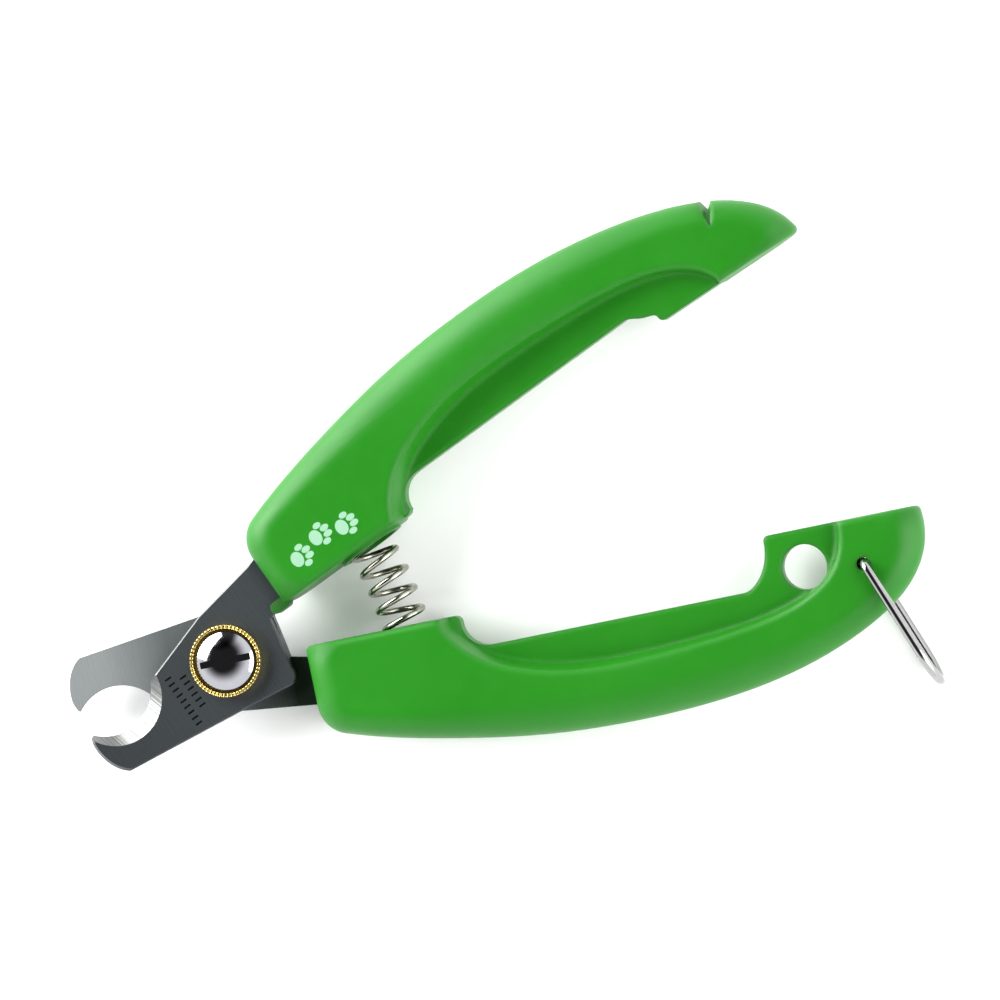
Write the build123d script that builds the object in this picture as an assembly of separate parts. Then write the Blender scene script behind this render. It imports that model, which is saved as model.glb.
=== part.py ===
from build123d import *
from math import cos, pi, radians, sin, tan
import os

# Plier-type pet nail clipper, lying flat on z = 0 with its grips towards +X and its jaws
# towards -X. Two alike halves cross at one pivot. Each half is drawn closed, in a half frame:
# pivot at the origin, grip towards +X, back edge towards +Y, blade just above mid-plane z = 0.
# The lower half is that drawing turned over about X. The upper half is swung open about Z.

# ---- driving dimensions: millimetres and degrees ----
opening_angle = 24.0
grip_half_thickness = 6.0
tip_half_thickness = 4.2
web_half_thickness = 1.6

# handle outline
front_x = 12.1
front_corner_r = 5.0
back_slope = 18.0
back_start_y = 13.0
block_end_x = 35.4
block_corner_r = 1.0
block_throat_r = 4.0
web_edge_y = 5.5
web_end_x = 77.5
hook_x = 82.0
hook_corner_r = 0.8
tip_lean_rate = 0.1
taper_start_x = 48.0
taper_end_x = 90.0
back_edge_r = 3.8
soft_edge_r = 0.8
recess_draft = 14.0
recess_stations = 16
lower_shape = {"face_y": 0.3, "scoop": (80.4, 3.7), "hook_y": -2.1, "tip": (105.4, -2.1)}
upper_shape = {"face_y": 1.0, "scoop": (79.7, 4.4), "hook_y": 2.1, "tip": (106.3, 1.2)}
upper_offset_y = 0.7

# nub and lock notch on the upper handle, in its half frame
nub_reach = 2.2
nub_low_y = 1.1
nub_high_y = 2.9
nub_bottom_z = 0.3
nub_top_z = 3.0
nub_end_r = 0.85
notch_at_middle = ((97.1, 12.4), (102.8, 16.4), (96.1, 17.3))
notch_at_side = ((96.0, 8.6), (100.6, 16.9), (96.0, 17.3))

# spring pockets and return spring
pocket_x = 27.4
pocket_r = 4.2
pocket_floor_y = 6.3
boss_r = 5.2
boss_height = 0.5
spring_wire_r = 0.45
spring_outer_r = 3.65
spring_turns = 9.15
spring_start_turn = -0.09
spring_closed_turns = 1.0
spring_points_per_turn = 12

# blades
blade_thickness = 2.0
blade_gap = 0.04
edge_bevel = 0.2
tip_bevel = 0.45
rear_reach = 0.7
front_shoulder_y = 9.75
rear_shoulder_y = 9.1
notch_cut_centre = (-18.1, 7.5)
notch_cut_r = 7.1
notch_back_centre = (-17.15, 5.3)
notch_back_r = 7.15
tang_end_x = 46.0
tang_hole_r = 1.8
tang_holes = ((25.5, 11.6), (39.0, 14.6))

# pivot
bush_shank_r = 3.5
bush_running_gap = 0.05
bush_flange_r = 5.35
bush_floor = 0.6
bush_rim_height = 1.8
bush_rim_inner_r = 4.8
rim_edge_r = 0.24
rim_teeth = 56
rim_groove_r = 0.2
screw_r = 2.0
screw_head_r = 4.3
screw_head_skirt = 0.8
screw_dome_height = 1.15
slot_width = 1.0
slot_depth = 0.9
screw_tail = 0.5
screw_tip_chamfer = 0.3
washer_r = 4.5
washer_thickness = 0.5
cone_r = 4.0
cone_thickness = 0.4
cone_rise = 0.25
nut_flats = 7.0
nut_thickness = 2.0
nut_chamfer = 0.35
thread_clearance = 0.02

# lock bail and hang hole, in the lower half's half frame
bail_hole = (96.1, 4.7)
bail_hole_r = 0.98
bail_wire_r = 0.7
bail_length = 20.4
bail_side_gap = 0.4
bail_bend_r = 1.4
bail_rest_angle = -69.2
bail_twist = -2.5
hang_hole = (87.2, 3.5)
hang_hole_r = 3.35

# ---- derived heights, from mid-plane ----
blade_front_z = blade_gap / 2 + blade_thickness
blade_back_z = -blade_front_z
bush_seat_z = blade_front_z + bush_running_gap
screw_seat_z = bush_seat_z + bush_floor
cone_top_z = blade_back_z - washer_thickness
nut_top_z = cone_top_z - cone_thickness - cone_rise
screw_end_z = nut_top_z - nut_thickness - screw_tail
bail_leg_z = tip_half_thickness + bail_side_gap + bail_wire_r

up = (Align.CENTER, Align.CENTER, Align.MIN)
down = (Align.CENTER, Align.CENTER, Align.MAX)


def smooth_curve(points, start, end):
    """Curve through the points that leaves along start and arrives along end."""
    return Spline(*points, tangents=[start, end], tangent_scalars=(1, 1))


def closed_face(points):
    """Face inside a closed run of straight lines."""
    return make_face(Polyline(*points, points[0]).edges())


def handle_outline(shape):
    """Outline of a handle. shape says where its block face, hook and tip are."""
    face_y = shape["face_y"]
    hook_y = shape["hook_y"]
    tip_x, tip_y = shape["tip"]
    tangent_length = front_corner_r * tan(radians(90 - back_slope) / 2)
    slope_x = cos(radians(back_slope))
    slope_y = sin(radians(back_slope))
    front_low = (front_x, face_y)
    front_top = (front_x, back_start_y - tangent_length)
    back_front = (front_x + tangent_length * slope_x, back_start_y + tangent_length * slope_y)
    face_end = (block_end_x - block_corner_r, face_y)
    throat_low = (block_end_x, face_y + block_corner_r)
    throat_top = (block_end_x, web_edge_y - block_throat_r)
    web_start = (block_end_x + block_throat_r, web_edge_y)
    web_end = (web_end_x, web_edge_y)
    hook_top = (hook_x, hook_y + hook_corner_r)
    hook_face = (hook_x + hook_corner_r, hook_y)
    tip_corner = (tip_x, tip_y)
    tip_lean = -tip_lean_rate * tip_y
    back_points = [
        tip_corner, (tip_x - 0.7, 4.5), (tip_x - 3.8, 9.1), (tip_x - 10.7, 13.8), (83.5, 18.0), (70.0, 20.25),
        (58.0, 20.7), (45.0, 20.05), (31.5, 18.0), back_front,
    ]
    return make_face([
        Line(front_low, face_end),
        RadiusArc(face_end, throat_low, -block_corner_r),
        Line(throat_low, throat_top),
        RadiusArc(throat_top, web_start, block_throat_r),
        Line(web_start, web_end),
        smooth_curve([web_end, shape["scoop"], hook_top], (1, 0), (0, -1)),
        RadiusArc(hook_top, hook_face, -hook_corner_r),
        Line(hook_face, tip_corner),
        smooth_curve(back_points, (tip_lean, 1), (-slope_x, -slope_y)),
        RadiusArc(back_front, front_top, -front_corner_r),
        Line(front_top, front_low),
    ])


def side_profile():
    """Side view of a handle: full thickness at the block, easing down to a thinner tip."""
    front = front_x - 2
    back = upper_shape["tip"][0] + 4
    edges = [
        Line((front, grip_half_thickness), (front, -grip_half_thickness)),
        Line((back, tip_half_thickness), (back, -tip_half_thickness)),
    ]
    for side in (1, -1):
        shoulder = (taper_start_x, side * grip_half_thickness)
        toe = (taper_end_x, side * tip_half_thickness)
        edges.append(Line((front, side * grip_half_thickness), shoulder))
        edges.append(smooth_curve([shoulder, toe], (1, 0), (1, 0)))
        edges.append(Line(toe, (back, side * tip_half_thickness)))
    return Plane.XZ * make_face(edges)


def recess_section(spread, height):
    """Section of the recess at a height above mid-plane, spread outwards from its floor outline."""
    floor = Spline(
        (34.1, -6.0), (34.8, 2.5), (38.3, 6.2), (43.9, 8.9), (51.0, 10.5), (63.0, 10.9), (75.0, 10.1),
        (85.4, 7.9), (91.0, 4.2), (92.9, -1.0), (92.6, -6.0),
    )
    moved = []
    for i in range(recess_stations + 1):
        place = floor @ (i / recess_stations)
        along = floor % (i / recess_stations)
        moved.append((place.X - along.Y * spread, place.Y + along.X * spread))
    wall = Spline(*moved)
    return Pos(0, 0, height) * make_face([wall, Line(wall @ 1, wall @ 0)])


def recess():
    """Tool that hollows one face of a handle down to the web, with drafted walls."""
    lift = grip_half_thickness + 1 - web_half_thickness
    floor = recess_section(0, web_half_thickness)
    mouth = recess_section(lift * tan(radians(recess_draft)), web_half_thickness + lift)
    return loft([floor, mouth])


def on_side_face(edge):
    """True for an edge that lies in one of a handle's two side faces."""
    return all(abs((edge @ share).Z) > tip_half_thickness - 0.01 for share in (0.05, 0.5, 0.95))


def on_back(edge):
    """True for a side-face edge that runs round the front, the back or the tip of a handle."""
    start, middle, end = (edge @ share for share in (0.02, 0.5, 0.98))
    at_front = max(start.X, middle.X, end.X) < front_x + 0.01
    crosses_face = abs(start.X - end.X) < 0.01
    on_tip_face = middle.Y < web_edge_y and abs(start.Y - end.Y) < 1
    outer = all(place.Y > web_edge_y + 0.1 or place.X > hang_hole[0] for place in (start, middle, end))
    return at_front or (outer and not crosses_face and not on_tip_face)


def handle_blank(shape):
    """One moulded handle with its rounded back and a recess in each face."""
    plan = extrude(handle_outline(shape), amount=2 * grip_half_thickness, both=True)
    body = plan & extrude(side_profile(), amount=4 * grip_half_thickness, both=True)
    back_edges = [edge for edge in body.edges() if on_side_face(edge) and on_back(edge)]
    body = fillet(back_edges, back_edge_r)
    hollow = recess()
    body = body - hollow - mirror(hollow, Plane.XY)
    return fillet([edge for edge in body.edges() if on_side_face(edge)], soft_edge_r)


def spring_pocket():
    """Blind bore for one end of the spring, open at the block face of a handle."""
    bore = Rot(90, 0, 0) * Cylinder(pocket_r, 2 * pocket_floor_y, align=up)
    return Pos(pocket_x, pocket_floor_y, 0) * bore


def nub():
    """Moulded lip over the blade at the lower front corner of the upper handle."""
    root = 1.0
    size = (nub_reach + root, nub_high_y - nub_low_y, nub_top_z - nub_bottom_z)
    middle_y = (nub_low_y + nub_high_y) / 2
    middle_z = (nub_bottom_z + nub_top_z) / 2
    lip = Pos(front_x + root - size[0] / 2, middle_y, middle_z) * Box(*size)
    return fillet(lip.edges().filter_by(Axis.Z), nub_end_r)


def lock_notch():
    """Tool for the V across the back edge of the upper handle, deeper towards both side faces."""
    middle = closed_face(notch_at_middle)
    half = loft([middle, Pos(0, 0, grip_half_thickness) * closed_face(notch_at_side)])
    return half + mirror(half, Plane.XY)


def upper_handle():
    """Upper handle: a low boss round the spring pocket, the nub and the lock notch."""
    body = handle_blank(upper_shape)
    boss = Rot(90, 0, 0) * Cylinder(boss_r, 2)
    body += Pos(pocket_x, upper_shape["face_y"] + 1 - boss_height, 0) * boss
    body -= spring_pocket()
    body = Pos(0, upper_offset_y, 0) * body
    return body + nub() - blade() - lock_notch()


def lower_handle():
    """Lower handle: the hang hole in its web and the cross hole for the lock bail."""
    body = handle_blank(lower_shape) - spring_pocket() - blade(rear_reach, rear_shoulder_y)
    body -= Pos(*hang_hole) * Cylinder(hang_hole_r, 4 * grip_half_thickness)
    return body - Pos(*bail_hole) * Cylinder(bail_hole_r, 4 * grip_half_thickness)


def blade(reach=0.0, shoulder_y=front_shoulder_y):
    """Flat blade with a notched jaw, a pivot hole and a tang. Its cutting plane faces down. The jaw is
    ground longer by reach, and shoulder_y is the height of its back edge where the handle begins."""
    tip_corner = (-21.7 - reach, -4.8 + 0.13 * reach)
    jaw_end = (-23.3 - reach, 3.1)
    plate = extrude(make_face([
        Polyline((-11.8, 4.3), (-10.0, 4.65), (0.3, 7.8), (11.8, shoulder_y), (29.0, 15.3),
                 (tang_end_x, 17.6), (tang_end_x, 13.7), (20.6, 7.9), (18.4, 3.4), (8.9, 1.3), (7.4, -6.6)),
        ThreePointArc((7.4, -6.6), (6.9, -8.1), (5.4, -8.5)),
        Polyline((5.4, -8.5), (-2.4, -7.3), tip_corner),
        Spline(tip_corner, (-23.3 - reach, -2.8), (-24.0 - reach, -0.4), (-23.9 - reach, 1.9), jaw_end),
        Line(jaw_end, (-11.8, 4.3)),
    ]), amount=blade_thickness)
    for low_x, high_x, bevel in ((-30, -22.8, tip_bevel), (-22.8, 11, edge_bevel)):
        rim = plate.faces().sort_by(Axis.Z)[-1].edges()
        rim = rim.filter_by(lambda edge: low_x < edge.center().X < high_x and not is_notch_chord(edge))
        plate = chamfer(rim, bevel)
    plate -= jaw_notch()
    plate -= Cylinder(bush_shank_r + bush_running_gap, 4 * blade_thickness)
    for x, y in tang_holes:
        plate -= Pos(x, y, 0) * Cylinder(tang_hole_r, 4 * blade_thickness)
    return Pos(0, 0, blade_gap / 2) * plate


def is_notch_chord(edge):
    """True for the straight edge that the notch removes."""
    middle = edge.center()
    return -22 < middle.X < -12 and middle.Y > 0


def jaw_notch():
    """Slanted round tool: the notch is larger at the back face, so its front rim is a cutting edge."""
    overshoot = 0.25
    sections = []
    for share in (-overshoot, 1 + overshoot):
        x = notch_cut_centre[0] + share * (notch_back_centre[0] - notch_cut_centre[0])
        y = notch_cut_centre[1] + share * (notch_back_centre[1] - notch_cut_centre[1])
        radius = notch_cut_r + share * (notch_back_r - notch_cut_r)
        sections.append(Pos(x, y, share * blade_thickness) * Circle(radius))
    return loft(sections)


def pivot_bush():
    """Brass bush: a shank through both blades and a flange with a thin raised rim of small beads."""
    flange = Cylinder(bush_flange_r, bush_rim_height, align=up)
    flange -= Pos(0, 0, bush_floor) * Cylinder(bush_rim_inner_r, bush_rim_height, align=up)
    flange = fillet(flange.faces().sort_by(Axis.Z)[-1].edges(), rim_edge_r)
    reach = bush_flange_r - bush_rim_inner_r
    groove = Rot(0, 90, 0) * Cylinder(rim_groove_r, 2 * reach)
    groove = Pos(bush_flange_r - reach / 2, 0, bush_rim_height) * groove
    flange -= [Rot(0, 0, i * 360 / rim_teeth) * groove for i in range(rim_teeth)]
    shank = Cylinder(bush_shank_r, bush_seat_z - blade_back_z, align=down)
    return Pos(0, 0, bush_seat_z) * (flange + shank - Cylinder(screw_r, 8 * blade_thickness))


def pivot_screw():
    """Domed, slotted screw whose shank runs down through the bush to the nut."""
    dome_r = (screw_head_r ** 2 + screw_dome_height ** 2) / (2 * screw_dome_height)
    dome = Cylinder(screw_head_r, screw_dome_height, align=up)
    dome &= Pos(0, 0, screw_dome_height - dome_r) * Sphere(dome_r)
    slot = Box(4 * screw_head_r, slot_width, 2, align=up)
    head = Cylinder(screw_head_r, screw_head_skirt, align=up) + Pos(0, 0, screw_head_skirt) * dome
    head -= Pos(0, 0, screw_head_skirt + screw_dome_height - slot_depth) * slot
    shank = Cylinder(screw_r - thread_clearance, screw_seat_z - screw_end_z, align=down)
    shank = chamfer(shank.edges().sort_by(Axis.Z)[0], screw_tip_chamfer)
    return Pos(0, 0, screw_seat_z) * (head + shank)


def pivot_washer():
    """Flat steel washer on the back of the rear blade."""
    ring = Cylinder(washer_r, washer_thickness, align=down) - Cylinder(screw_r, 4 * washer_thickness)
    return Pos(0, 0, blade_back_z) * ring


def spring_washer():
    """Cone washer that keeps the two blades pressed together."""
    section = closed_face([
        (screw_r, -cone_rise), (cone_r, 0), (cone_r, -cone_thickness), (screw_r, -cone_rise - cone_thickness),
    ])
    return Pos(0, 0, cone_top_z) * revolve(Plane.XZ * section, Axis.Z)


def pivot_nut():
    """Hexagon nut with its outer corners chamfered."""
    blank = extrude(RegularPolygon(nut_flats / 2, 6, major_radius=False), amount=-nut_thickness)
    limit = Cylinder(nut_flats / 2 / cos(pi / 6), nut_thickness, align=down)
    limit = chamfer(limit.edges().sort_by(Axis.Z)[0], nut_chamfer)
    return Pos(0, 0, nut_top_z) * ((blank & limit) - Cylinder(screw_r, 4 * nut_thickness))


def spring_axis(distance):
    """Point and direction of the spring's centre line: an arc from floor to floor of the two pockets."""
    swing = radians(opening_angle)
    bow_r = pocket_x + pocket_floor_y / tan(swing / 2)
    tilt = min(distance / bow_r, swing)
    rest = distance - tilt * bow_r
    x = pocket_x - bow_r + bow_r * cos(tilt) - rest * sin(tilt)
    return x, bow_r * sin(tilt) + rest * cos(tilt) - pocket_floor_y, tilt


def return_spring():
    """Left-hand compression spring with one closed turn at each end, bowed at rest."""
    coil_r = spring_outer_r - spring_wire_r
    swing = radians(opening_angle)
    length = (pocket_x + pocket_floor_y / tan(swing / 2)) * swing + upper_offset_y
    closed_rise = 2 * spring_wire_r * 1.05
    open_turns = spring_turns - 2 * spring_closed_turns
    open_rise = (length - 2 * spring_wire_r - 2 * spring_closed_turns * closed_rise) / open_turns
    points = []
    for i in range(round(spring_turns * spring_points_per_turn) + 1):
        turn = i / spring_points_per_turn
        opened = min(max(turn - spring_closed_turns, 0), open_turns)
        distance = spring_wire_r + (turn - opened) * closed_rise + opened * open_rise
        x, y, tilt = spring_axis(distance)
        around = 2 * pi * (turn + spring_start_turn)
        out = coil_r * cos(around)
        points.append((x + out * cos(tilt), y + out * sin(tilt), -coil_r * sin(around)))
    path = Spline(*points)
    return sweep(Plane(origin=path @ 0, z_dir=path % 0) * Circle(spring_wire_r), path=path, is_frenet=True)


def lock_bail():
    """Wire loop through the lower handle's cross hole. Its long way is X, its hole end at the origin."""
    inner_z = bail_leg_z - bail_bend_r
    legs_end = bail_length - bail_leg_z
    corner = bail_bend_r * (1 - cos(pi / 4))
    loop = Plane.XZ * Wire([
        Line((0, -inner_z), (0, inner_z)),
        ThreePointArc((0, inner_z), (corner, bail_leg_z - corner), (bail_bend_r, bail_leg_z)),
        Line((bail_bend_r, bail_leg_z), (legs_end, bail_leg_z)),
        ThreePointArc((legs_end, bail_leg_z), (bail_length, 0), (legs_end, -bail_leg_z)),
        Line((legs_end, -bail_leg_z), (bail_bend_r, -bail_leg_z)),
        ThreePointArc((bail_bend_r, -bail_leg_z), (corner, corner - bail_leg_z), (0, -inner_z)),
    ])
    wire = sweep(Circle(bail_wire_r), path=loop)
    return Pos(bail_hole[0], -bail_hole[1], 0) * Rot(0, 0, bail_rest_angle) * Rot(bail_twist, 0, 0) * wire


def build():
    """Every piece by node name, in the half frame of the lower half at rest."""
    turned_over = Rot(180, 0, 0)
    swung_open = Rot(0, 0, opening_angle)
    return {
        "lower_handle": turned_over * lower_handle(),
        "rear_blade": turned_over * blade(rear_reach, rear_shoulder_y),
        "upper_handle": swung_open * upper_handle(),
        "front_blade": swung_open * blade(),
        "pivot_bush": pivot_bush(),
        "pivot_screw": pivot_screw(),
        "pivot_washer": pivot_washer(),
        "spring_washer": spring_washer(),
        "pivot_nut": pivot_nut(),
        "return_spring": return_spring(),
        "lock_bail": lock_bail(),
    }


def standing_place(pieces):
    """Place that centres the box round the pieces on the origin and stands it on z = 0."""
    boxes = [piece.bounding_box() for piece in pieces.values()]
    middle_x = (min(box.min.X for box in boxes) + max(box.max.X for box in boxes)) / 2
    middle_y = (min(box.min.Y for box in boxes) + max(box.max.Y for box in boxes)) / 2
    return Pos(-middle_x, -middle_y, grip_half_thickness)


if __name__ == "__main__":
    os.makedirs("parts", exist_ok=True)
    all_pieces = build()
    place = standing_place(all_pieces)
    for name, piece in all_pieces.items():
        export_step(place * piece, "parts/" + name + ".step")
    print("pivot at", place.position)
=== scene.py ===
"""Looks of a plier-type pet nail clipper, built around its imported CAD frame. Metres and radians."""
import math

import bpy
from mathutils import Matrix, Vector


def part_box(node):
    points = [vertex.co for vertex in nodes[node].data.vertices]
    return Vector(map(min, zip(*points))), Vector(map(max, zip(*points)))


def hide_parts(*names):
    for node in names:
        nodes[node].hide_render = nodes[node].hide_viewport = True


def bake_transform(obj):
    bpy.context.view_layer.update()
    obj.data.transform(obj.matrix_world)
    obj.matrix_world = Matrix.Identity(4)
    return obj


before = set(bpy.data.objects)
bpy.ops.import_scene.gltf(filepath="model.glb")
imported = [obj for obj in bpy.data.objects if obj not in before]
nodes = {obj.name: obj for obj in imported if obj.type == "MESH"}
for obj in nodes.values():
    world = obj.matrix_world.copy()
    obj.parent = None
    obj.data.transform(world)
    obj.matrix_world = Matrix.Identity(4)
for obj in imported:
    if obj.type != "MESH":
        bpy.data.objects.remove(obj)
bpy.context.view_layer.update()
MM = 0.001

# ---- the object's own frames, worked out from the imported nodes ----
PIVOT = (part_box("pivot_bush")[0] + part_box("pivot_bush")[1]) / 2
MID_Z = (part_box("lower_handle")[0].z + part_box("lower_handle")[1].z) / 2
OPENING = math.radians(24.0)

# ---- camera ----
IMAGE_TURN = math.radians(-11.5)
CAMERA_LEAN_RIGHT = 0.165
CAMERA_LEAN_UP = 0.03
AIM_FROM_PIVOT = (44.66 * MM, 15.13 * MM)
CAMERA_AIM = Vector((PIVOT.x + AIM_FROM_PIVOT[0], PIVOT.y + AIM_FROM_PIVOT[1], MID_Z))
FRAME_WIDTH = 0.1475
LENS = 300.0
CLIP_NEAR = 0.1
CLIP_FAR = 20

# ---- return spring, as in the CAD ----
POCKET_RADIUS = 27.4 * MM
POCKET_FLOOR = 6.3 * MM
UPPER_OFFSET = 0.7 * MM
COIL_RADIUS = 3.2 * MM
WIRE_RADIUS = 0.45 * MM
SPRING_TURNS = 9.15
START_TURN = -0.09
CLOSED_TURNS = 1
CLOSED_RISE = 2.1 * WIRE_RADIUS
RINGS_PER_TURN = 36
WIRE_SIDES = 14

# ---- stage. A dim patch is its direction, the cosines at its rim and its core, and its level ----
WORLD_STRENGTH = 1.75
WORLD_PATCHES = (((-0.22, 0.12, 1.0), 0.62, 0.90, 0.02), ((-0.14, 0.8, 0.65), 0.84, 0.95, 0.05))
FLOOR_GAP = 0.05 * MM
FLOOR_HALF = 1.5

# ---- lights: name, direction from the object, distance, size in metres and power in watts ----
LIGHTS = (
    ("key", (-1.0, 0.9, 0.4), 0.65, 0.7, 17.0),
    ("fill", (1.0, -0.3, 0.55), 0.7, 0.6, 5.0),
)

# ---- shading. Places and reaches without MM are millimetres in a half's own closed frame ----
RECESS_ROUNDING = 1.2 * MM
BACK_ROUNDING = 7.0 * MM
FLAT_COSINE = 0.98
NOTCH_CENTRE = (-18.1, 7.5)
NOTCH_SLANT = (0.475, -1.1)
NOTCH_REACH = 7.6
SHADE_START = -25.0
SHADE_END = 25.0
FRONT_TONES = ((0.105, 0.125, 0.135), (0.17, 0.19, 0.205))
REAR_TONES = ((0.55, 0.60, 0.60), (0.80, 0.85, 0.85))
# Painted shade along each blade, as (place in mm, tint) stops. The front blade darkens toward its jaw and
# where it runs into the upper handle. The rear blade darkens from the front blade's edge along its tang,
# and its last stop is a painted shadow with a painted green reflection of the lower handle.
FRONT_PAINTED_SHADE = (
    (-22, (0.8, 0.8, 0.8)), (0, (1, 1, 1)),
    (10, (1, 1, 1)), (14, (0.4, 0.42, 0.42)),
)
REAR_PAINTED_SHADE_AND_REFLECTION = (
    (-19, (1, 1, 1)), (-9, (0.45, 0.47, 0.47)),
    (1, (0.45, 0.47, 0.47)), (9, (0.04, 0.06, 0.04)),
)
BACK_BAND = (12.0, 16.0)
TIP_BAND = (99.0, 105.0)
FRONT_BAND = (18.0, 14.0)
GRAIN_BUMP = 0.01 * MM
BRUSH_BUMP = 0.02 * MM
BEVEL_SAMPLES = 6

# ---- marks on the faces, in the upper half's closed frame, in millimetres. A pad of the paw is its
# centre and its half width and half height, as shares of the paw's size. A row of ticks is its place
# along the blade and its two ends. The depth of a tick is a share of the grain's height ----
PAW_CENTRES = ((18.9, 5.7), (23.0, 6.7), (27.1, 5.7))
PAW_SIZE = 1.9
PAW_PADS = (
    ((0.0, -0.42), (0.62, 0.5)), ((-0.72, 0.18), (0.24, 0.34)), ((-0.26, 0.58), (0.25, 0.37)),
    ((0.26, 0.58), (0.25, 0.37)), ((0.72, 0.18), (0.24, 0.34)),
)
PAW_TURN = math.radians(-90)
PAW_COLOUR = (0.22, 0.40, 0.27)
PAW_FACE_Z = 5.9
TICK_ROWS = ((-8.9, -5.2, 3.6), (-6.9, -3.3, 2.4))
TICK_LENGTH = 1.1
TICK_PITCH = 1.0
TICK_SHARE = 0.28
TICK_FACE_Z = 1.0
TICK_DEPTH = 3.0


# ---------------------------------------------------------------- node helpers
def new_material(name):
    """New material, its emptied node tree, and a shader that is linked to the tree's output."""
    material = bpy.data.materials.new(name)
    material.use_nodes = True
    tree = material.node_tree
    tree.nodes.clear()
    shader = tree.nodes.new("ShaderNodeBsdfPrincipled")
    output = tree.nodes.new("ShaderNodeOutputMaterial")
    tree.links.new(shader.outputs["BSDF"], output.inputs["Surface"])
    return material, tree, shader


def add(tree, kind, inputs=None, **settings):
    """Node of a kind with its settings and inputs. An input that is a socket is linked."""
    node = tree.nodes.new(kind)
    for key, value in settings.items():
        setattr(node, key, value)
    for key, value in (inputs or {}).items():
        if isinstance(value, bpy.types.NodeSocket):
            tree.links.new(value, node.inputs[key])
        else:
            node.inputs[key].default_value = value
    return node


def math_node(tree, operation, first, second=0.0):
    """Result of one math operation."""
    return add(tree, "ShaderNodeMath", {0: first, 1: second}, operation=operation).outputs[0]


def split(tree, vector):
    """X, Y and Z of a vector, as the outputs of one node."""
    return add(tree, "ShaderNodeSeparateXYZ", {0: vector}).outputs


def spread(tree, value, low, high, start=0.0, end=1.0, shape="LINEAR"):
    """A value between low and high, carried over to the range from start to end."""
    inputs = {0: value, 1: low, 2: high, 3: start, 4: end}
    return add(tree, "ShaderNodeMapRange", inputs, interpolation_type=shape).outputs[0]


def ramp(tree, factor, stops):
    """Colour ramp through (place, colour) stops."""
    node = add(tree, "ShaderNodeValToRGB", {"Fac": factor})
    elements = node.color_ramp.elements
    while len(elements) > 1:
        elements.remove(elements[-1])
    elements[0].position, elements[0].color = stops[0][0], (*stops[0][1], 1)
    for place, colour in stops[1:]:
        elements.new(place).color = (*colour, 1)
    return node.outputs["Color"]


def mix_colour(tree, factor, first, second, blend="MIX"):
    """Mix of two colours."""
    node = tree.nodes.new("ShaderNodeMix")
    node.data_type = "RGBA"
    node.blend_type = blend
    for key, value in ((0, factor), (6, first), (7, second)):
        if isinstance(value, bpy.types.NodeSocket):
            tree.links.new(value, node.inputs[key])
        elif key == 0:
            node.inputs[key].default_value = value
        else:
            node.inputs[key].default_value = (*value, 1)
    return node.outputs[2]


def placed(tree, turn, flip, scale=(1, 1, 1)):
    """Coordinates from the pivot, in the closed frame of one half: turned about Z, or turned over."""
    origin = (PIVOT.x, PIVOT.y, MID_Z)
    place = add(tree, "ShaderNodeTexCoord").outputs["Object"]
    shifted = add(tree, "ShaderNodeVectorMath", {0: place, 1: origin}, operation="SUBTRACT").outputs[0]
    rotation = {"Vector": shifted, "Angle": -turn}
    turned = add(tree, "ShaderNodeVectorRotate", rotation, rotation_type="Z_AXIS").outputs[0]
    side = -1 if flip else 1
    sized = {0: turned, 1: (scale[0], side * scale[1], side * scale[2])}
    return add(tree, "ShaderNodeVectorMath", sized, operation="MULTIPLY").outputs[0]


def half_millimetres(tree, turn, flip):
    """Coordinates in millimetres in the closed frame of one half."""
    return placed(tree, turn, flip, (1000, 1000, 1000))


def noise(tree, vector, scale, detail=2.0, roughness=0.5):
    """Noise value over a vector."""
    return add(tree, "ShaderNodeTexNoise", {
        "Vector": vector, "Scale": scale, "Detail": detail, "Roughness": roughness,
    }).outputs["Fac"]


def bump(tree, height, distance, strength, normal=None):
    """Bumped normal from a height."""
    inputs = {"Height": height, "Distance": distance, "Strength": strength}
    if normal is not None:
        inputs["Normal"] = normal
    return add(tree, "ShaderNodeBump", inputs).outputs["Normal"]


def set_shader(tree, shader, **values):
    """Sets or links the shader's sockets by name, with _ for a space."""
    for key, value in values.items():
        socket = shader.inputs[key.replace("_", " ")]
        if isinstance(value, bpy.types.NodeSocket):
            tree.links.new(value, socket)
        else:
            socket.default_value = value


# ---------------------------------------------------------------- materials
def paw_mask(tree, half_place):
    """1 inside a row of small paw prints on the upper handle's side face."""
    flat = split(tree, half_place)
    cosine = math.cos(PAW_TURN)
    sine = math.sin(PAW_TURN)
    nearest = None
    for paw_x, paw_y in PAW_CENTRES:
        for (across, along), (half_width, half_height) in PAW_PADS:
            x = paw_x + PAW_SIZE * (across * cosine - along * sine)
            y = paw_y + PAW_SIZE * (across * sine + along * cosine)
            away_x = math_node(tree, "SUBTRACT", flat["X"], x)
            away_y = math_node(tree, "SUBTRACT", flat["Y"], y)
            share_x = math_node(tree, "DIVIDE", away_x, PAW_SIZE * half_height)
            share_y = math_node(tree, "DIVIDE", away_y, PAW_SIZE * half_width)
            square_x = math_node(tree, "MULTIPLY", share_x, share_x)
            square_y = math_node(tree, "MULTIPLY", share_y, share_y)
            away = math_node(tree, "ADD", square_x, square_y)
            nearest = away if nearest is None else math_node(tree, "MINIMUM", nearest, away)
    inside = math_node(tree, "LESS_THAN", nearest, 1.0)
    on_face = math_node(tree, "GREATER_THAN", flat["Z"], PAW_FACE_Z)
    return math_node(tree, "MULTIPLY", inside, on_face)


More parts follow.
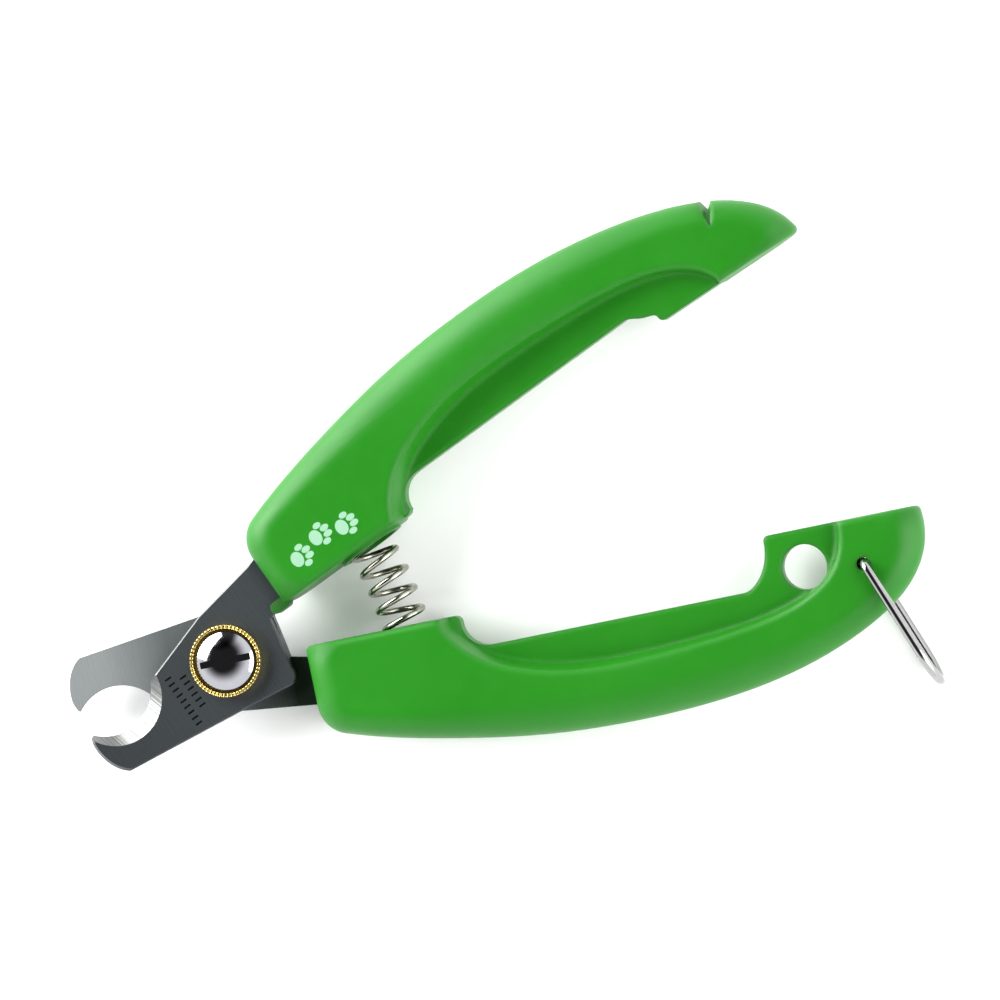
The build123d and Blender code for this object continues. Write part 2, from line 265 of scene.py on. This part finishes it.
def tick_mask(tree, half_place):
    """1 inside two rows of short etched ticks on the front blade, like the scale of a rule."""
    flat = split(tree, half_place)
    total = None
    for middle, low, high in TICK_ROWS:
        offset = math_node(tree, "ABSOLUTE", math_node(tree, "SUBTRACT", flat["X"], middle))
        in_row = math_node(tree, "LESS_THAN", offset, TICK_LENGTH / 2)
        past_low = math_node(tree, "GREATER_THAN", flat["Y"], low)
        before_high = math_node(tree, "LESS_THAN", flat["Y"], high)
        place = math_node(tree, "DIVIDE", math_node(tree, "SUBTRACT", flat["Y"], low), TICK_PITCH)
        on_tick = math_node(tree, "LESS_THAN", math_node(tree, "FRACT", place), TICK_SHARE)
        in_column = math_node(tree, "MULTIPLY", past_low, before_high)
        row = math_node(tree, "MULTIPLY", math_node(tree, "MULTIPLY", in_row, on_tick), in_column)
        total = row if total is None else math_node(tree, "MAXIMUM", total, row)
    on_face = math_node(tree, "GREATER_THAN", flat["Z"], TICK_FACE_Z)
    return math_node(tree, "MULTIPLY", total, on_face)


def soft_edge(tree, half_place):
    """Radius of the shaded rounding: wide along the back and at both ends, narrow round the recess."""
    flat = split(tree, half_place)
    back = spread(tree, flat["Y"], *BACK_BAND)
    tip = spread(tree, flat["X"], *TIP_BAND)
    front = spread(tree, flat["X"], *FRONT_BAND)
    share = math_node(tree, "MAXIMUM", math_node(tree, "MAXIMUM", back, tip), front)
    wider = math_node(tree, "MULTIPLY", share, BACK_ROUNDING - RECESS_ROUNDING)
    return math_node(tree, "ADD", wider, RECESS_ROUNDING)


def green_plastic(name, turn, flip=False, printed=False):
    """Satin injection-moulded green: faint flow in the colour, a fine matt grain, soft gloss."""
    material, tree, shader = new_material(name)
    half_place = half_millimetres(tree, turn, flip)
    place = add(tree, "ShaderNodeTexCoord").outputs["Object"]
    flow = noise(tree, place, 60.0, 3.0)
    colour = ramp(tree, flow, [(0.3, (0.010, 0.148, 0.005)), (0.7, (0.013, 0.167, 0.007))])
    grain = noise(tree, place, 9000.0, 2.0)
    wear = noise(tree, place, 400.0, 4.0)
    rough = spread(tree, wear, 0.3, 0.7, 0.34, 0.40)
    if printed:
        mask = paw_mask(tree, half_place)
        colour = mix_colour(tree, mask, colour, PAW_COLOUR)
        rough = add(tree, "ShaderNodeMix", {0: mask, 2: rough, 3: 0.55}).outputs[0]
    radius = {"Radius": soft_edge(tree, half_place)}
    rounded = add(tree, "ShaderNodeBevel", radius, samples=BEVEL_SAMPLES).outputs[0]
    bumped = bump(tree, grain, GRAIN_BUMP, 0.35, rounded)
    set_shader(
        tree, shader, Base_Color=colour, Roughness=rough, Normal=bumped,
        Subsurface_Weight=0.1, Subsurface_Radius=(0.3, 1.0, 0.2), Subsurface_Scale=0.001,
        Specular_IOR_Level=0.28,
    )
    return material


def notch_wall(tree, half_place):
    """Mask of the ground wall of the jaw's notch, and its fine marks, which run through the thickness."""
    flat = split(tree, half_place)
    aside = []
    for axis, centre, slant in zip("XY", NOTCH_CENTRE, NOTCH_SLANT):
        middle = math_node(tree, "ADD", math_node(tree, "MULTIPLY", flat["Z"], slant), centre)
        aside.append(math_node(tree, "SUBTRACT", flat[axis], middle))
    around = math_node(tree, "ARCTAN2", aside[1], aside[0])
    squares = [math_node(tree, "MULTIPLY", value, value) for value in aside]
    reach = math_node(tree, "SQRT", math_node(tree, "ADD", squares[0], squares[1]))
    inside = math_node(tree, "LESS_THAN", reach, NOTCH_REACH)
    look = {"W": around, "Scale": 28.0, "Detail": 4.0, "Roughness": 0.7}
    marks = add(tree, "ShaderNodeTexNoise", look, noise_dimensions="1D").outputs["Fac"]
    tones = [(0.35, (0.07, 0.075, 0.075)), (0.5, (0.17, 0.175, 0.17)), (0.62, (0.27, 0.27, 0.26))]
    return inside, ramp(tree, marks, tones)


def steel_rim_painted_light(tree, turn, flip):
    """Mask of a blade's edges, and their colour as painted light: a painted highlight where they face the
    jaw's end and the back, the side the key light comes from, and painted shade where they face away.
    """
    normal = add(tree, "ShaderNodeTexCoord").outputs["Normal"]
    rotation = {"Vector": normal, "Angle": -turn}
    turned = add(tree, "ShaderNodeVectorRotate", rotation, rotation_type="Z_AXIS").outputs[0]
    upright = math_node(tree, "ABSOLUTE", split(tree, turned)["Z"])
    mask = math_node(tree, "LESS_THAN", upright, FLAT_COSINE)
    painted_light_way = (-0.8, -0.6 if flip else 0.6, 0.0)
    toward = add(tree, "ShaderNodeVectorMath", {0: turned, 1: painted_light_way}, operation="DOT_PRODUCT")
    # painted light on the edges: bright where an edge faces this way, dark where it faces away
    lit = spread(tree, toward.outputs["Value"], -0.1, 0.5)
    return mask, mix_colour(tree, lit, (0.05, 0.055, 0.06), (0.14, 0.145, 0.14))


def brushed_steel(name, turn, tones, painted_shade, flip=False, etched=False):
    """Ground steel plate with a straight grain, between a dark and a light tone, with painted shade along
    the half and painted light on its edges.
    Each stop of the painted shade is a place along the half in millimetres and a tint."""
    material, tree, shader = new_material(name)
    half_place = half_millimetres(tree, turn, flip)
    stretched = placed(tree, turn, flip, (1.0, 0.03, 0.2))
    fine = noise(tree, stretched, 7000.0, 3.0, 0.6)
    broad = noise(tree, stretched, 1200.0, 2.0)
    cloud = noise(tree, placed(tree, turn, flip), 120.0, 2.0)
    fine_part = math_node(tree, "MULTIPLY", fine, 0.5)
    broad_part = math_node(tree, "MULTIPLY", broad, 0.2)
    cloud_part = math_node(tree, "MULTIPLY", cloud, 0.3)
    grain = math_node(tree, "ADD", math_node(tree, "ADD", fine_part, broad_part), cloud_part)
    colour = ramp(tree, grain, [(0.35, tones[0]), (0.65, tones[1])])
    share = spread(tree, split(tree, half_place)["X"], SHADE_START, SHADE_END)
    stops = [((x - SHADE_START) / (SHADE_END - SHADE_START), tint) for x, tint in painted_shade]
    # painted shade: the blade's colour is multiplied darker along the half by the stops above
    colour = mix_colour(tree, 1.0, colour, ramp(tree, share, stops), "MULTIPLY")
    height = fine
    if etched:
        mask = tick_mask(tree, half_place)
        colour = mix_colour(tree, mask, colour, (0.008, 0.008, 0.009))
        height = math_node(tree, "SUBTRACT", fine, math_node(tree, "MULTIPLY", mask, TICK_DEPTH))
    # edges get painted light and shade, except the notch wall, which gets its ground marks
    rim, edge_painted_light_and_notch_marks = steel_rim_painted_light(tree, turn, flip)
    in_notch, notch_colour = notch_wall(tree, half_place)
    edge_painted_light_and_notch_marks = mix_colour(tree, in_notch, edge_painted_light_and_notch_marks, notch_colour)
    colour = mix_colour(tree, rim, colour, edge_painted_light_and_notch_marks)
    rough = spread(tree, grain, 0.3, 0.7, 0.42, 0.34)
    bumped = bump(tree, height, BRUSH_BUMP, 0.2)
    set_shader(tree, shader, Base_Color=colour, Metallic=1.0, Roughness=rough, Normal=bumped)
    return material


def polished(name, colour, roughness, ripple=0.1):
    """Plated or polished metal with a faint haze and a fine ripple."""
    material, tree, shader = new_material(name)
    place = add(tree, "ShaderNodeTexCoord").outputs["Object"]
    haze = noise(tree, place, 700.0, 4.0)
    tint = ramp(tree, haze, [(0.3, tuple(0.93 * x for x in colour)), (0.7, colour)])
    rough = spread(tree, haze, 0.3, 0.7, roughness, 1.6 * roughness)
    fine = noise(tree, place, 5000.0, 2.0)
    set_shader(
        tree, shader, Base_Color=tint, Metallic=1.0, Roughness=rough,
        Normal=bump(tree, fine, GRAIN_BUMP, ripple),
    )
    return material


def dress(node, material):
    """Gives a CAD node one material."""
    mesh = nodes[node].data
    mesh.materials.clear()
    mesh.materials.append(material)


# ---------------------------------------------------------------- return spring
def bow_radius():
    """Radius of the bow that joins the two pockets' axes."""
    return POCKET_RADIUS + POCKET_FLOOR / math.tan(OPENING / 2)


def spring_length():
    """Length of the spring's centre line, from pocket floor to pocket floor."""
    return bow_radius() * OPENING + UPPER_OFFSET


def coil_point(turn):
    """Centre of the wire after a number of turns. The first and the last turn are closed."""
    open_turns = SPRING_TURNS - 2 * CLOSED_TURNS
    open_length = spring_length() - 2 * WIRE_RADIUS - 2 * CLOSED_TURNS * CLOSED_RISE
    opened = min(max(turn - CLOSED_TURNS, 0), open_turns)
    distance = WIRE_RADIUS + (turn - opened) * CLOSED_RISE + opened * open_length / open_turns
    tilt = min(distance / bow_radius(), OPENING)
    rest = distance - tilt * bow_radius()
    around = 2 * math.pi * (turn + START_TURN)
    out = bow_radius() + COIL_RADIUS * math.cos(around)
    x = POCKET_RADIUS - bow_radius() + out * math.cos(tilt) - rest * math.sin(tilt)
    y = out * math.sin(tilt) + rest * math.cos(tilt) - POCKET_FLOOR
    return Vector((PIVOT.x + x, PIVOT.y + y, MID_Z - COIL_RADIUS * math.sin(around)))


def wire_tube(name, points, radius, sides):
    """Round wire along a row of points, with a flat cap on each end."""
    verts, faces = [], []
    last = len(points) - 1
    across = None
    for i, point in enumerate(points):
        before = points[max(i - 1, 0)]
        after = points[min(i + 1, last)]
        along = (after - before).normalized()
        if across is None:
            across = along.orthogonal()
        across = (across - along * across.dot(along)).normalized()
        side = along.cross(across)
        for k in range(sides):
            angle = 2 * math.pi * k / sides
            verts.append(point + radius * (math.cos(angle) * across + math.sin(angle) * side))
    for i in range(last):
        ring = i * sides
        for k in range(sides):
            m = (k + 1) % sides
            faces.append((ring + k, ring + m, ring + sides + m, ring + sides + k))
    faces.append(tuple(reversed(range(sides))))
    faces.append(tuple(range(last * sides, (last + 1) * sides)))
    mesh = bpy.data.meshes.new(name)
    mesh.from_pydata(verts, [], faces)
    for face in mesh.polygons:
        face.use_smooth = len(face.vertices) == 4
    piece = bpy.data.objects.new(name, mesh)
    bpy.context.scene.collection.objects.link(piece)
    return piece


def make_spring(material):
    """Helical return spring along the bow between the two halves at their rest opening, in place of the
    CAD's spring node, which is hidden.
    """
    steps = round(SPRING_TURNS * RINGS_PER_TURN)
    points = [coil_point(i / RINGS_PER_TURN) for i in range(steps + 1)]
    spring = wire_tube("return_spring_coil", points, WIRE_RADIUS, WIRE_SIDES)
    spring.data.materials.append(material)
    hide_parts("return_spring")
    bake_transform(spring)


# ---------------------------------------------------------------- stage
def make_floor():
    """Plain pale floor under the object."""
    ways = ((-1, -1), (1, -1), (1, 1), (-1, 1))
    corners = [(FLOOR_HALF * x, FLOOR_HALF * y, -FLOOR_GAP) for x, y in ways]
    mesh = bpy.data.meshes.new("floor")
    mesh.from_pydata(corners, [], [(0, 1, 2, 3)])
    floor = bpy.data.objects.new("floor", mesh)
    bpy.context.scene.collection.objects.link(floor)
    material, tree, shader = new_material("floor_paper")
    place = add(tree, "ShaderNodeTexCoord").outputs["Object"]
    tone = ramp(tree, noise(tree, place, 3.0), [(0.3, (0.93, 0.93, 0.93)), (0.7, (0.95, 0.95, 0.95))])
    set_shader(tree, shader, Base_Color=tone, Roughness=0.9, Specular_IOR_Level=0.1)
    mesh.materials.append(material)


def make_world():
    """White surroundings with a wide dim patch overhead and a small one beyond the picture's top."""
    world = bpy.data.worlds.new("studio")
    bpy.context.scene.world = world
    world.use_nodes = True
    tree = world.node_tree
    tree.nodes.clear()
    direction = add(tree, "ShaderNodeTexCoord").outputs["Generated"]
    tone = None
    for way, rim, core, level in WORLD_PATCHES:
        both = {0: direction, 1: tuple(Vector(way).normalized())}
        near = add(tree, "ShaderNodeVectorMath", both, operation="DOT_PRODUCT").outputs["Value"]
        patch = spread(tree, near, rim, core, 1.0, level, "SMOOTHSTEP")
        tone = patch if tone is None else math_node(tree, "MULTIPLY", tone, patch)
    background = add(tree, "ShaderNodeBackground", {"Color": (1, 1, 1, 1)})
    tree.links.new(math_node(tree, "MULTIPLY", tone, WORLD_STRENGTH), background.inputs["Strength"])
    output = add(tree, "ShaderNodeOutputWorld")
    tree.links.new(background.outputs[0], output.inputs["Surface"])


def soft_light(name, direction, distance, size, power):
    """Square area light that looks at the object from a direction."""
    data = bpy.data.lights.new(name, "AREA")
    data.shape = "SQUARE"
    data.size = size
    data.energy = power
    light = bpy.data.objects.new(name, data)
    bpy.context.scene.collection.objects.link(light)
    way = Vector(direction).normalized()
    light.location = CAMERA_AIM + way * distance
    light.rotation_mode = "QUATERNION"
    light.rotation_quaternion = way.to_track_quat("Z", "Y")


def make_camera():
    """Long lens that looks down from a little to the right of straight overhead."""
    right = Vector((math.cos(IMAGE_TURN), math.sin(IMAGE_TURN), 0))
    up = Vector((-math.sin(IMAGE_TURN), math.cos(IMAGE_TURN), 0))
    back = (Vector((0, 0, 1)) + CAMERA_LEAN_RIGHT * right + CAMERA_LEAN_UP * up).normalized()
    across = (right - back * right.dot(back)).normalized()
    data = bpy.data.cameras.new("camera")
    data.lens = LENS
    distance = FRAME_WIDTH * data.lens / data.sensor_width
    camera = bpy.data.objects.new("camera", data)
    bpy.context.scene.collection.objects.link(camera)
    turned = Matrix((across, back.cross(across), back)).transposed().to_4x4()
    camera.matrix_world = Matrix.Translation(CAMERA_AIM + back * distance) @ turned
    data.clip_start = CLIP_NEAR
    data.clip_end = CLIP_FAR
    bpy.context.scene.camera = camera


# ---------------------------------------------------------------- the object
dress("lower_handle", green_plastic("green_plastic", 0.0, flip=True))
dress("upper_handle", green_plastic("green_plastic_printed", OPENING, printed=True))
dress("front_blade", brushed_steel("front_steel", OPENING, FRONT_TONES, FRONT_PAINTED_SHADE, etched=True))
dress("rear_blade", brushed_steel("rear_steel", 0.0, REAR_TONES, REAR_PAINTED_SHADE_AND_REFLECTION, flip=True))
dress("pivot_bush", polished("brass", (0.72, 0.55, 0.19), 0.14))
dress("pivot_screw", polished("chrome", (0.36, 0.36, 0.39), 0.06))
zinc = polished("zinc", (0.55, 0.55, 0.56), 0.3, 0.3)
for part in ("pivot_washer", "spring_washer", "pivot_nut"):
    dress(part, zinc)
dress("lock_bail", polished("bail_wire", (0.36, 0.36, 0.36), 0.1))
make_spring(polished("spring_wire", (0.36, 0.35, 0.30), 0.12))

make_floor()
make_world()
for light in LIGHTS:
    soft_light(*light)
make_camera()
bpy.context.scene.view_settings.view_transform = "Standard"
